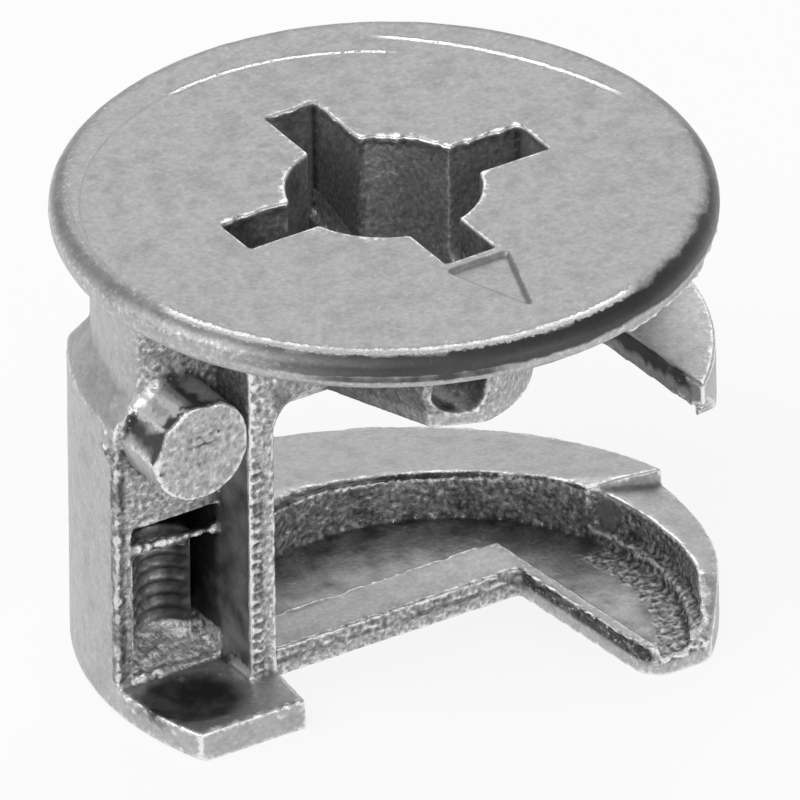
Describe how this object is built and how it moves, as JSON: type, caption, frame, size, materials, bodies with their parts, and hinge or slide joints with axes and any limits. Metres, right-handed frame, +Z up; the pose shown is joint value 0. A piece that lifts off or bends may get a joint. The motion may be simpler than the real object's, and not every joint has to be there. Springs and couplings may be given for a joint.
{
  "type": "furniture cam lock",
  "caption": "Round zinc cam that turns in a panel's bore to draw in and lock the head of a connecting bolt between its hooked jaws.",
  "frame": {"origin": "on the cam's turning axis, at the bottom face", "axes": "+Z up along the turning axis to the disc, -Y towards the side where the bolt enters, -X towards the column that joins the jaws"},
  "size_m": [0.015, 0.015, 0.0115],
  "materials": {
    "zinc": "bare zinc die casting, satin"
  },
  "bodies": {
    "root": {"cam_housing": "zinc"}
  },
  "joints": []
}
